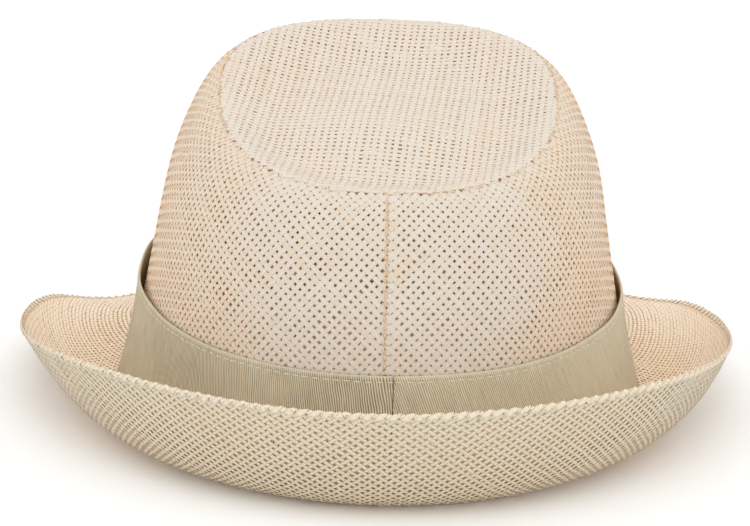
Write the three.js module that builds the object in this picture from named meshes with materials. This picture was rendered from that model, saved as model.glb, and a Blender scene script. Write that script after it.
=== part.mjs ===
// Fedora of woven paper straw: a dented crown tip, the crown side, a curled brim and a cotton band.
// Millimetres, +Z up. The front of the hat faces -Y and the wearer's left is +X.
// The hat lies on its brim, on the front edge and on the roll under the back.

import * as THREE from 'three';

// Driving dimensions

const SEGMENTS = 64; // steps around the head
const SEAM_GAP = 0.3; // clearance between pieces that are sewn together
const STRAW = 1.6; // thickness of the woven straw
const BAND_CLOTH = 1.2; // thickness of the cotton band

const RIDGE_HEIGHT = 105; // ridge above the brim's underside, in the middle of the crown
const RIDGE_SLOPE = 0.155; // fall of the ridge towards the back, for each millimetre
const RIDGE_FRONT_DIP = 2.3; // how far the ridge sinks at the very front
const RIDGE_SQUARENESS = 0.38; // added to an ellipse's exponent of 2, at the ridge

const DENT_DEPTH = 4.8; // floor of the tip below the plane of its ridge
const DENT_LINE_BACK = 0.76; // where the floor starts at the back, as a share of the way out to the ridge
const DENT_LINE_FRONT = 0.42; // the same at the front
const CUSHION_RISE = 3.8; // how far the middle of the floor swells up again
const CUSHION_BEHIND = 26; // middle of that swelling, behind the middle of the crown
const CUSHION_LENGTH = 19; // its spread towards the front and the back
const CUSHION_WIDTH = 24; // its spread to the sides

const PINCH_DEPTH = 4; // hollow on each side of the front of the crown
const PINCH_TURN = 40; // degrees from the front to the middle of the hollow
const PINCH_SPREAD = 15; // degrees
const PINCH_LEVEL = 0.72; // share of the way up the crown side
const PINCH_RISE = 0.16; // its spread up the crown side

const BAND_TOP = 38.2; // top edge of the band above the brim's underside
const BAND_FOOT_GAP = 0.7; // foot of the band above the brim
const BAND_LOOP_SPREAD = 20; // degrees over which the top edge stands off or rises

const CURL_POWER = 0.71; // below 1 the brim bends most close to the crown
const CURL_STEPS = 24; // steps of the sum along the brim's curl
const FLATTENED = 0.6; // how far the straw gives way where the brim lies on a surface

const STRAW_COLOUR = 0xd9c4a4;
const STRAW_TIP_COLOUR = 0xe2d0b3;
const BAND_COLOUR = 0xa8977b;

// Outside of the crown side, a row for each level from the brim (0) to the ridge (1)
const CROWN_SECTIONS = [
  { level: 0.0, left: 88.5, right: 88.5, back: 103.0, front: 106.0 },
  { level: 0.12, left: 85.3, right: 85.3, back: 100.5, front: 102.6 },
  { level: 0.25, left: 82.0, right: 82.0, back: 98.5, front: 99.5 },
  { level: 0.4, left: 79.0, right: 79.0, back: 96.6, front: 96.5 },
  { level: 0.6, left: 75.4, right: 75.5, back: 94.1, front: 92.5 },
  { level: 0.75, left: 71.8, right: 72.6, back: 91.0, front: 88.3 },
  { level: 0.88, left: 66.4, right: 67.5, back: 88.0, front: 81.0 },
  { level: 0.96, left: 61.2, right: 62.5, back: 84.3, front: 72.5 },
  { level: 1.0, left: 56.0, right: 57.3, back: 80.0, front: 63.0 },
];

// Brim at turns from the back over the wearer's left, in degrees: its direction at the crown and at its edge,
// in degrees above level, and its width along the straw
const BRIM_ROWS = [
  { place: 'back', turn: 0, start: -24, end: 121, width: 49.6 },
  { place: 'back left', turn: 45, start: -23.5, end: 109, width: 47.8 },
  { place: 'left', turn: 90, start: -13, end: 55.5, width: 41.2 },
  { place: 'left temple', turn: 112, start: -11.5, end: 29.5, width: 41 },
  { place: 'front left', turn: 135, start: -10, end: -10.5, width: 41.5 },
  { place: 'front', turn: 180, start: -12, end: -15, width: 46 },
  { place: 'front right', turn: 225, start: -9.5, end: -1, width: 42.8 },
  { place: 'right temple', turn: 248, start: -11, end: 36, width: 38.4 },
  { place: 'right', turn: 270, start: -13, end: 62, width: 40.2 },
  { place: 'back right', turn: 315, start: -19, end: 101.5, width: 50 },
];

// How far the top edge of the band stands off the crown and rises at a turn from the back, in degrees
const BAND_LOOPS = [
  { place: 'left', turn: 90, off: 1.2, up: 0 },
  { place: 'front left', turn: 114, off: 0, up: 2.4 },
  { place: 'right', turn: 270, off: 0.8, up: 0 },
];

// Rows of facets on each piece
const SIDE_LEVELS = [0, 0.13, 0.27, 0.41, 0.56, 0.7, 0.81, 0.9, 0.96, 1];
const TIP_RINGS = [1, 0.92, 0.82, 0.7, 0.54, 0.37, 0.2];
const BRIM_SHARES = [0, 0.07, 0.15, 0.24, 0.34, 0.47, 0.63, 0.81, 1];
const BAND_LEVELS = [0, 0.35, 0.7, 1];

const CROWN_FOOT = STRAW + SEAM_GAP; // foot of the crown side, on top of the brim
const AZIMUTHS = Array.from({ length: SEGMENTS }, (_, step) => (step * 2 * Math.PI) / SEGMENTS);

// The brim's rows with a turn before and a turn after them, so that a curve through them closes
const lapped = (lap) => BRIM_ROWS.map((row) => ({ ...row, turn: row.turn + lap }));
const BRIM_TURNS = [-360, 0, 360].flatMap(lapped);

// Curves and sections

/** Value of a column at a place given by a key column, on a smooth curve through a table's rows. */
function alongRows(rows, key, place, column) {
  const last = rows.length - 1;
  const found = rows.findIndex((row) => place < row[key]);
  const lower = found < 0 ? last - 1 : Math.max(found - 1, 0);
  const slope = (index) => {
    const below = rows[Math.max(index - 1, 0)];
    const above = rows[Math.min(index + 1, last)];
    return (above[column] - below[column]) / (above[key] - below[key]);
  };
  const a = rows[lower];
  const b = rows[lower + 1];
  const span = b[key] - a[key];
  const u = (place - a[key]) / span;
  const blend = u * u * (3 - 2 * u);
  const leaving = u * (1 - u) * (1 - u) * span * slope(lower);
  const arriving = u * u * (u - 1) * span * slope(lower + 1);
  return a[column] + (b[column] - a[column]) * blend + leaving + arriving;
}

/** Reach of the crown's outside at a level, towards one side. */
function crownReach(level, side) {
  return alongRows(CROWN_SECTIONS, 'level', level, side);
}

/** Value of a brim column at an azimuth. */
function aroundBrim(azimuth, column) {
  return alongRows(BRIM_TURNS, 'turn', THREE.MathUtils.radToDeg(azimuth), column);
}

/** Point of the crown's outside at a level and an azimuth, which runs from the back over the left. */
function crownOval(azimuth, level) {
  const power = 2 / (2 + RIDGE_SQUARENESS * level);
  const rounded = (value) => Math.sign(value) * Math.abs(value) ** power;
  const across = Math.sin(azimuth);
  const along = Math.cos(azimuth);
  const side = crownReach(level, across > 0 ? 'left' : 'right');
  const reach = crownReach(level, along > 0 ? 'back' : 'front');
  return new THREE.Vector2(side * rounded(across), reach * rounded(along));
}

/** Height of the plane through the ridge, at a distance behind the middle of the crown. */
function ridgePlane(behind) {
  return RIDGE_HEIGHT - RIDGE_SLOPE * behind;
}

/** Height of the ridge at an azimuth. */
function ridgeHeight(azimuth) {
  const forward = Math.max(0, -Math.cos(azimuth));
  return ridgePlane(crownOval(azimuth, 1).y) - RIDGE_FRONT_DIP * forward ** 4;
}

/** Fall-off of a shallow form with the distance from its middle, in spreads. */
function bell(distance) {
  return Math.exp(-0.5 * distance * distance);
}

/** Depth of the two hollows beside the front of the crown. */
function pinchDepth(azimuth, level) {
  const fromFront = Math.abs(THREE.MathUtils.radToDeg(azimuth) - 180);
  const around = bell((fromFront - PINCH_TURN) / PINCH_SPREAD);
  return PINCH_DEPTH * around * bell((level - PINCH_LEVEL) / PINCH_RISE);
}

/** Point on the outside of the crown side. */
function crownPoint(azimuth, level) {
  const oval = crownOval(azimuth, level);
  oval.setLength(oval.length() - pinchDepth(azimuth, level));
  const height = CROWN_FOOT + level * (ridgeHeight(azimuth) - CROWN_FOOT);
  return new THREE.Vector3(oval.x, oval.y, height);
}

/** Outward normal of the crown side. */
function crownNormal(azimuth, level) {
  const step = 0.01;
  const low = Math.max(level - step, 0);
  const high = Math.min(level + step, 1);
  const up = crownPoint(azimuth, high).sub(crownPoint(azimuth, low));
  const round = crownPoint(azimuth + step, level).sub(crownPoint(azimuth - step, level));
  return up.cross(round).normalize();
}

/** Depth of the tip's floor below the plane of its ridge, at a share of the way out from the centre. */
function dentDepth(azimuth, share) {
  const behind = (1 + Math.cos(azimuth)) / 2;
  const line = THREE.MathUtils.lerp(DENT_LINE_FRONT, DENT_LINE_BACK, behind);
  const fall = Math.min((1 - share) / (1 - line), 1);
  return DENT_DEPTH * 0.5 * (1 - Math.cos(Math.PI * fall));
}

/** Height of the swelling in the floor of the tip, which dies out at the ridge. */
function cushionRise(x, y, share) {
  const spread = bell(x / CUSHION_WIDTH) * bell((y - CUSHION_BEHIND) / CUSHION_LENGTH);
  return CUSHION_RISE * spread * (1 - share ** 4);
}

/** Point on top of the crown tip, whose edge keeps the seam's gap inside the ridge. */
function tipPoint(azimuth, share) {
  const ridge = crownPoint(azimuth, 1);
  const reach = Math.hypot(ridge.x, ridge.y);
  const inward = (share * (reach - SEAM_GAP)) / reach;
  const plane = THREE.MathUtils.lerp(ridgePlane(0), ridge.z, share);
  const [x, y] = [ridge.x * inward, ridge.y * inward];
  return new THREE.Vector3(x, y, plane - dentDepth(azimuth, share) + cushionRise(x, y, share));
}

/** Horizontal direction straight out of the head oval at its foot. */
function footNormal(azimuth) {
  const foot = CROWN_SECTIONS[0];
  const side = Math.sin(azimuth) > 0 ? foot.left : foot.right;
  const reach = Math.cos(azimuth) > 0 ? foot.back : foot.front;
  const out = new THREE.Vector2(Math.sin(azimuth) / side, Math.cos(azimuth) / reach);
  return out.normalize();
}

/** Direction of the brim above level, in radians, at a share of its width. */
function brimAngle(azimuth, share) {
  const start = aroundBrim(azimuth, 'start');
  const end = aroundBrim(azimuth, 'end');
  return THREE.MathUtils.degToRad(start + (end - start) * share ** CURL_POWER);
}

/** Point at a share of the brim's width, lifted off its underside. */
function brimPoint(azimuth, share, lift) {
  const stride = (aroundBrim(azimuth, 'width') * share) / CURL_STEPS;
  let outward = 0;
  let height = 0;
  for (let step = 0; step < CURL_STEPS; step += 1) {
    const angle = brimAngle(azimuth, (share * (step + 0.5)) / CURL_STEPS);
    outward += Math.cos(angle) * stride;
    height += Math.sin(angle) * stride;
  }
  const angle = brimAngle(azimuth, share);
  outward -= Math.sin(angle) * lift;
  height += Math.cos(angle) * lift;
  const foot = crownOval(azimuth, 0).addScaledVector(footNormal(azimuth), outward);
  return new THREE.Vector3(foot.x, foot.y, height);
}

/** How far the band's top edge stands off or rises at an azimuth. */
function bandLoop(azimuth, column) {
  const turn = THREE.MathUtils.radToDeg(azimuth);
  return BAND_LOOPS.reduce((sum, row) => sum + row[column] * bell((turn - row.turn) / BAND_LOOP_SPREAD), 0);
}

/** Point of the band at a share of its height, off the crown by its loops and a further offset. */
function bandPoint(azimuth, share, offset) {
  const foot = CROWN_FOOT + BAND_FOOT_GAP;
  const height = THREE.MathUtils.lerp(foot, BAND_TOP + bandLoop(azimuth, 'up'), share);
  const level = (height - CROWN_FOOT) / (ridgeHeight(azimuth) - CROWN_FOOT);
  const oval = crownOval(azimuth, level);
  const off = SEAM_GAP + offset + bandLoop(azimuth, 'off') * share * share;
  oval.addScaledVector(footNormal(azimuth), off);
  return new THREE.Vector3(oval.x, oval.y, height);
}

// How the hat lies: tipped about X until the front edge and the roll under the back are level

/** Lowest point of the brim's underside along one azimuth, with the hat tipped. */
function lowestPoint(azimuth, tip) {
  const tipped = (share) => brimPoint(azimuth, share, 0).applyAxisAngle(tip.axis, tip.angle);
  const turned = BRIM_SHARES.map(tipped);
  return turned.reduce((low, point) => (point.z < low.z ? point : low));
}

/** Tip of the hat that brings its front and back to one level. */
function restingTip() {
  const tip = { axis: new THREE.Vector3(1, 0, 0), angle: 0, floor: 0 };
  for (let round = 0; round < 4; round += 1) {
    const back = lowestPoint(0, tip);
    const front = lowestPoint(Math.PI, tip);
    tip.angle -= Math.atan2(back.z - front.z, back.y - front.y);
  }
  tip.floor = lowestPoint(0, tip).z + FLATTENED;
  return tip;
}

const REST = restingTip();

/** The same point on the hat as it lies, with the surface at zero. */
function laid(point) {
  point.applyAxisAngle(REST.axis, REST.angle);
  point.z -= REST.floor;
  return point;
}

/** Top and underside of the laid brim at a share of its width, pressed up where it meets the surface. */
function brimFaces(azimuth, share) {
  const top = laid(brimPoint(azimuth, share, STRAW));
  const under = laid(brimPoint(azimuth, share, 0));
  const press = Math.max(0, -under.z);
  top.z += press;
  under.z += press;
  return { top, under };
}

// Solids

/** Geometry from shared points and triangles of their indices. */
function solid(points, triangles) {
  const geometry = new THREE.BufferGeometry();
  const numbers = points.flatMap((point) => point.toArray());
  geometry.setAttribute('position', new THREE.Float32BufferAttribute(numbers, 3));
  geometry.setIndex(triangles);
  geometry.computeVertexNormals();
  return geometry;
}

/** Two triangles between neighbouring points of one azimuth and of the next one. */
function addQuad(triangles, here, hereNext, there, thereNext) {
  triangles.push(here, thereNext, hereNext, here, there, thereNext);
}

/** Wall that runs right round the head, from one closed loop of points at each azimuth. */
function roundWall(loopAt) {
  const loops = AZIMUTHS.map(loopAt);
  const size = loops[0].length;
  const triangles = [];
  loops.forEach((_, index) => {
    const here = index * size;
    const there = ((index + 1) % SEGMENTS) * size;
    for (let j = 0; j < size; j += 1) {
      const k = (j + 1) % size;
      addQuad(triangles, here + j, here + k, there + j, there + k);
    }
  });
  return solid(loops.flat(), triangles);
}

/** Round plate from an open line of points at each azimuth, between a top and a bottom centre. */
function roundPlate(lineAt, top, bottom) {
  const lines = AZIMUTHS.map(lineAt);
  const size = lines[0].length;
  const topIndex = lines.length * size;
  const triangles = [];
  lines.forEach((_, index) => {
    const here = index * size;
    const there = ((index + 1) % SEGMENTS) * size;
    triangles.push(topIndex, there, here);
    for (let j = 0; j < size - 1; j += 1) {
      addQuad(triangles, here + j, here + j + 1, there + j, there + j + 1);
    }
    triangles.push(topIndex + 1, here + size - 1, there + size - 1);
  });
  return solid([...lines.flat(), top, bottom], triangles);
}

/** Section of the crown side: down the outside and up the inside, square at both ends. */
function crownSideLoop(azimuth) {
  const outside = SIDE_LEVELS.map((level) => crownPoint(azimuth, level));
  const inside = SIDE_LEVELS.map((level, index) => {
    const inward = crownNormal(azimuth, level).negate();
    if (level === 0) {
      inward.setZ(0).normalize();
    }
    if (level === 1) {
      inward.set(0, 0, -1);
    }
    return outside[index].clone().addScaledVector(inward, STRAW);
  });
  return [...outside.reverse(), ...inside].map(laid);
}

/** Section of the crown tip: out along the top and back along the underside. */
function crownTipLine(azimuth) {
  const top = TIP_RINGS.map((share) => tipPoint(azimuth, share));
  const under = top.map((point) => point.clone().setZ(point.z - STRAW));
  return [...top.reverse(), ...under].map(laid);
}

/** Section of the brim: from under the crown out along the top, and back along the underside. */
function brimLoop(azimuth) {
  const faces = BRIM_SHARES.map((share) => brimFaces(azimuth, share));
  const top = faces.map((face) => face.top);
  const under = faces.map((face) => face.under).reverse();
  const seam = footNormal(azimuth).multiplyScalar(-STRAW);
  const inward = new THREE.Vector3(seam.x, seam.y, 0);
  return [top[0].clone().add(inward), ...top, ...under, under.at(-1).clone().add(inward)];
}

/** Section of the band: down its outside and up its inside. */
function bandSection(azimuth) {
  const outside = BAND_LEVELS.map((share) => bandPoint(azimuth, share, BAND_CLOTH));
  const inside = BAND_LEVELS.map((share) => bandPoint(azimuth, share, 0));
  return [...outside.reverse(), ...inside].map(laid);
}

/** Matt mesh of one piece. */
function piece(name, geometry, colour) {
  const material = new THREE.MeshStandardMaterial({ color: colour, roughness: 0.85, metalness: 0 });
  const mesh = new THREE.Mesh(geometry, material);
  mesh.name = name;
  return mesh;
}

/** Crown tip with its two centres. */
function crownTip() {
  const top = tipPoint(0, 0);
  const bottom = top.clone().setZ(top.z - STRAW);
  return roundPlate(crownTipLine, laid(top), laid(bottom));
}

const hat = new THREE.Group();
hat.add(piece('crown_side', roundWall(crownSideLoop), STRAW_COLOUR));
hat.add(piece('crown_tip', crownTip(), STRAW_TIP_COLOUR));
hat.add(piece('brim', roundWall(brimLoop), STRAW_COLOUR));
hat.add(piece('hat_band', roundWall(bandSection), BAND_COLOUR));

// The origin is the middle of the hat's footprint, on the surface
const footprint = new THREE.Box3().setFromObject(hat).getCenter(new THREE.Vector3());
hat.position.set(-footprint.x, -footprint.y, 0);

export default hat;
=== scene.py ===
"""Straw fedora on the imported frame: woven strands, a ribbed cotton band, seams and stitches.

Shapes are worked out in millimetres and written in metres. The front of the hat faces -Y and the wearer's
left is +X. Azimuths are in radians and run from the back of the hat over the wearer's left. Points have their
coordinates in the last axis.
"""

import logging
import math
from dataclasses import dataclass, field
from enum import Enum
from typing import Callable

import bpy
import numpy as np
from mathutils import Matrix, Vector


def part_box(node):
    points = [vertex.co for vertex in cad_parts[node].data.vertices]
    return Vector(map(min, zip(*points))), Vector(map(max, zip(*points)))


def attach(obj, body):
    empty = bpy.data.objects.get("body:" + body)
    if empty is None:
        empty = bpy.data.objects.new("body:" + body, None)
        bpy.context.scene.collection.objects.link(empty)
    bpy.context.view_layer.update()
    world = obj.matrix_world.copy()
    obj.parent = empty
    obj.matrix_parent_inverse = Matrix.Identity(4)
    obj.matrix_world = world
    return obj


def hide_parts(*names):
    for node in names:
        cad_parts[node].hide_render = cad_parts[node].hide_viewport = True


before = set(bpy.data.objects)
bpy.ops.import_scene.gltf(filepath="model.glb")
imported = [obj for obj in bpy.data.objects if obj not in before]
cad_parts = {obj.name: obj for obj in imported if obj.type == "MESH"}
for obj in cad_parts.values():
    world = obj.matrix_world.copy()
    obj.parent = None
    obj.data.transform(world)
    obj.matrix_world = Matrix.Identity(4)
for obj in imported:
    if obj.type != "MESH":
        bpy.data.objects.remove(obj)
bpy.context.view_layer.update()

LOG = logging.getLogger("fedora")
Array = np.ndarray
Surface = Callable[[Array, Array], Array]
Colour = tuple[float, float, float]
Area = tuple[float, float, float, float]
TURN = 2 * math.pi
MM = 0.001
WHOLE_MAP = (0.0, 0.0, 1.0, 1.0)
MAP_MARGIN = 0.02
CAP_MARGIN = 0.003
CAP_HEIGHT = 0.01
FLAT_SIDES = 4
THREAD_SIDES = 6
GRAIN_SHIFT = 997.0

CROWN_SECTIONS = (
    # level, left, right, back, front
    (0.00, 88.5, 88.5, 103.0, 106.0),
    (0.12, 85.3, 85.3, 100.5, 102.6),
    (0.25, 82.0, 82.0, 98.5, 99.5),
    (0.40, 79.0, 79.0, 96.6, 96.5),
    (0.60, 75.4, 75.5, 94.1, 92.5),
    (0.75, 71.8, 72.6, 91.0, 88.3),
    (0.88, 66.4, 67.5, 88.0, 81.0),
    (0.96, 61.2, 62.5, 84.3, 72.5),
    (1.00, 56.0, 57.3, 80.0, 63.0),
)

BRIM_ROWS = (
    # turn, start, end, width
    (0.0, -24.0, 121.0, 49.6),
    (45.0, -23.5, 109.0, 47.8),
    (90.0, -13.0, 55.5, 41.2),
    (112.0, -11.5, 29.5, 41.0),
    (135.0, -10.0, -10.5, 41.5),
    (180.0, -12.0, -15.0, 46.0),
    (225.0, -9.5, -1.0, 42.8),
    (248.0, -11.0, 36.0, 38.4),
    (270.0, -13.0, 62.0, 40.2),
    (315.0, -19.0, 101.5, 50.0),
)

BAND_LOOPS = (
    # turn, off, up
    (96.0, 1.7, 0.0),
    (114.0, 0.0, 2.4),
    (270.0, 1.0, 0.0),
)

STITCH_STATIONS = (
    # share of the length, rise and half width in radii
    (0.00, -1.3, 0.50),
    (0.18, 0.2, 0.95),
    (0.50, 0.5, 1.00),
    (0.82, 0.2, 0.95),
    (1.00, -1.3, 0.50),
)


class Hand(Enum):
    """Which way a strand climbs as the azimuth grows."""

    RISING = 1
    FALLING = -1


class Grain(Enum):
    """Which way a strand of a flat weave runs."""

    LENGTHWISE = 0
    CROSSWISE = 1


def unit(vectors: Array) -> Array:
    """Scale vectors to length one."""
    return vectors / np.maximum(np.linalg.norm(vectors, axis=-1, keepdims=True), 1e-9)


def bell(distance: Array) -> Array:
    """Fall-off of a shallow form with the distance from its middle, in spreads."""
    return np.exp(-0.5 * distance * distance)


def smooth_step(values: Array, low: float, high: float) -> Array:
    """Smooth rise from zero at low to one at high."""
    u = np.clip((values - low) / (high - low), 0, 1)
    return u * u * (3 - 2 * u)


def heading(azimuth: Array) -> Array:
    """Horizontal direction towards an azimuth."""
    return np.stack([np.sin(azimuth), np.cos(azimuth)], -1)


def raised(flat: Array, height: Array) -> Array:
    """Add heights to horizontal places."""
    return np.concatenate([flat, height[..., None]], -1)


def spread(*values: Array | float) -> tuple[Array, ...]:
    """Bring numbers to one common shape."""
    return tuple(np.broadcast_arrays(*(np.asarray(value, float) for value in values)))


def travelled(points: Array, axis: int) -> Array:
    """Distance from the first point of each line that runs along an axis of points."""
    steps = np.linalg.norm(np.diff(points, axis=axis), axis=-1)
    return np.insert(np.cumsum(steps, axis), 0, 0.0, axis)


def map_boxes(left: Array, low: Array, right: Array, high: Array) -> Array:
    """Corners of boxes on the map, four for each face."""
    places = np.broadcast_arrays(left, low, right, low, right, high, left, high)
    return np.stack(places, -1).reshape(-1, 2)


def smoothed(values: Array, passes: int) -> Array:
    """Blur values along their last axis.

    Args:
        values: Numbers, in rows.
        passes: How often each number is averaged with its neighbours.

    Returns:
        The blurred numbers, scaled back to a spread of one.
    """
    for _ in range(passes):
        values = (np.roll(values, 1, -1) + 2 * values + np.roll(values, -1, -1)) / 4
    return values / max(float(values.std()), 1e-9)


def through_rows(table: Array, place: Array) -> Array:
    """Read a table at places between its rows, on a smooth curve.

    Args:
        table: Rows of a place and the values there.
        place: Where the values are wanted.

    Returns:
        The values, one column each in the last axis.
    """
    rows, values = table[:, 0], table[:, 1:]
    index = np.arange(len(rows))
    after, before = np.minimum(index + 1, len(rows) - 1), np.maximum(index - 1, 0)
    slopes = (values[after] - values[before]) / (rows[after] - rows[before])[:, None]
    low = np.clip(np.searchsorted(rows, place, side="right") - 1, 0, len(rows) - 2)
    span = (rows[low + 1] - rows[low])[..., None]
    u = (place - rows[low])[..., None] / span
    blend = u * u * (3 - 2 * u)
    leaving = u * (1 - u) ** 2 * span * slopes[low]
    arriving = u * u * (u - 1) * span * slopes[low + 1]
    return values[low] + (values[low + 1] - values[low]) * blend + leaving + arriving


def with_normals(surface: Surface, a: Array, b: Array, step: float = 0.004) -> tuple[Array, Array]:
    """Points of a surface and their normals.

    Args:
        surface: Gives points for two parameters.
        a: First parameters.
        b: Second parameters.
        step: Small change of each parameter, for the slopes.

    Returns:
        The points, and unit normals on the side where b crosses to a clockwise.
    """
    along_a = surface(a + step, b) - surface(a - step, b)
    along_b = surface(a, b + step) - surface(a, b - step)
    return surface(a, b), unit(np.cross(along_b, along_a))


@dataclass
class HatForm:
    """Shape of the hat's crown side and brim, and how it lies on the floor, in millimetres."""

    straw: float = 1.6
    gap: float = 0.3
    ridge_height: float = 105.0
    ridge_slope: float = 0.155
    ridge_front_dip: float = 2.3
    ridge_squareness: float = 0.38
    pinch_depth: float = 4.0
    pinch_turn: float = 40.0
    pinch_spread: float = 15.0
    pinch_level: float = 0.72
    pinch_rise: float = 0.16
    curl_power: float = 0.71
    curl_steps: int = 24
    stations: tuple[float, ...] = (0, 0.07, 0.15, 0.24, 0.34, 0.47, 0.63, 0.81, 1)
    edge_turns: int = 64
    flattened: float = 0.6
    tilt: float = field(init=False, default=0.0)
    floor: float = field(init=False, default=0.0)
    centre: Array = field(init=False, default_factory=lambda: np.zeros(3))

    def __post_init__(self) -> None:
        """Lay the hat on the floor and centre its footprint on the frame's brim."""
        for _ in range(4):
            back, front = self.lowest(0.0), self.lowest(math.pi)
            self.tilt -= math.atan2(back[2] - front[2], back[1] - front[1])
        self.floor = self.lowest(0.0)[2] + self.flattened
        azimuth = np.arange(self.edge_turns) * TURN / self.edge_turns
        edge = self.laid(self.brim(azimuth[:, None], np.array(self.stations[-2:])[None, :])).reshape(-1, 3)
        low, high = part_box("brim")
        wanted = np.array((low + high) / 2) / MM
        self.centre[:2] = wanted[:2] - (edge.min(0) + edge.max(0))[:2] / 2

    @property
    def foot(self) -> float:
        """Height of the crown side's foot above the brim's underside."""
        return self.straw + self.gap

    def radii(self, azimuth: Array, level: Array) -> Array:
        """Half width and half length of the crown's oval towards an azimuth."""
        rows = through_rows(np.array(CROWN_SECTIONS), level)
        return np.where(heading(azimuth) > 0, rows[..., 0::2], rows[..., 1::2])

    def oval(self, azimuth: Array, level: Array) -> Array:
        """Horizontal oval of the crown's outside, at shares of the way from the brim to the ridge."""
        toward, power = heading(azimuth), np.asarray(2 / (2 + self.ridge_squareness * level))
        return self.radii(azimuth, level) * np.sign(toward) * np.abs(toward) ** power[..., None]

    def foot_normal(self, azimuth: Array) -> Array:
        """Horizontal direction straight out of the head oval at its foot."""
        return unit(heading(azimuth) / self.radii(azimuth, np.zeros(np.shape(azimuth))))

    def ridge(self, azimuth: Array) -> Array:
        """Height of the ridge at an azimuth."""
        drop = self.ridge_slope * self.oval(azimuth, 1.0)[..., 1]
        return self.ridge_height - drop - self.ridge_front_dip * np.maximum(0, -np.cos(azimuth)) ** 4

    def crown(self, azimuth: Array, level: Array) -> Array:
        """Outside of the crown side, before the hat is laid down.

        Args:
            azimuth: Turns round the head.
            level: Shares of the way from the brim to the ridge.

        Returns:
            Points of the upright hat.
        """
        azimuth, level = spread(azimuth, level)
        oval = self.oval(azimuth, level)
        from_front = np.abs(np.degrees(azimuth % TURN) - 180)
        hollow = self.pinch_depth * bell((from_front - self.pinch_turn) / self.pinch_spread)
        hollow = hollow * bell((level - self.pinch_level) / self.pinch_rise)
        reach = np.linalg.norm(oval, axis=-1)
        height = self.foot + level * (self.ridge(azimuth) - self.foot)
        return raised(oval * ((reach - hollow) / reach)[..., None], height)

    def around_brim(self, azimuth: Array) -> Array:
        """Start angle, end angle and width of the brim, on a smooth closed curve."""
        laps = [np.array(BRIM_ROWS) + np.array([lap, 0, 0, 0]) for lap in (-360.0, 0.0, 360.0)]
        return through_rows(np.concatenate(laps), np.degrees(azimuth) % 360)

    def brim(self, azimuth: Array, share: Array, lift: Array = 0.0, past: Array = 0.0) -> Array:
        """Brim, before the hat is laid down.

        Args:
            azimuth: Turns round the head.
            share: Shares of the brim's width.
            lift: Height over the underside.
            past: Distance straight on from there.

        Returns:
            Points of the upright hat.
        """
        azimuth, share = spread(azimuth, share)
        start, end, width = np.moveaxis(self.around_brim(azimuth), -1, 0)
        start, bend = np.radians(start), np.radians(end - start)
        outward, height = np.zeros(azimuth.shape), np.zeros(azimuth.shape)
        for step in range(self.curl_steps):
            part = np.maximum(share * (step + 0.5) / self.curl_steps, 0)
            angle = start + bend * part**self.curl_power
            outward += np.cos(angle) * width * share / self.curl_steps
            height += np.sin(angle) * width * share / self.curl_steps
        angle = start + bend * np.maximum(share, 0) ** self.curl_power
        outward = outward - np.sin(angle) * lift + np.cos(angle) * past
        height = height + np.cos(angle) * lift + np.sin(angle) * past
        return raised(self.oval(azimuth, 0.0) + self.foot_normal(azimuth) * outward[..., None], height)

    def lowest(self, azimuth: float) -> Array:
        """Lowest point of the tipped brim's underside along one azimuth."""
        line = self.tipped(self.brim(azimuth, np.array(self.stations)))
        return line[line[:, 2].argmin()]

    def tipped(self, points: Array) -> Array:
        """Turn points about X by the tilt at which the hat lies."""
        c, s = math.cos(self.tilt), math.sin(self.tilt)
        return points @ np.array([[1, 0, 0], [0, c, s], [0, -s, c]])

    def laid(self, points: Array) -> Array:
        """Bring points of the upright hat to where it lies, still in millimetres."""
        return self.tipped(points) - np.array([0, 0, self.floor]) + self.centre

    def laid_brim(self, *place: Array) -> Array:
        """Brim as it lies, pressed up where it meets the floor, at what brim takes."""
        points, under = (self.laid(self.brim(*at)) for at in (place, place[:2]))
        return points + np.array([0, 0, 1]) * np.maximum(0, -under[..., 2:])


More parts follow.
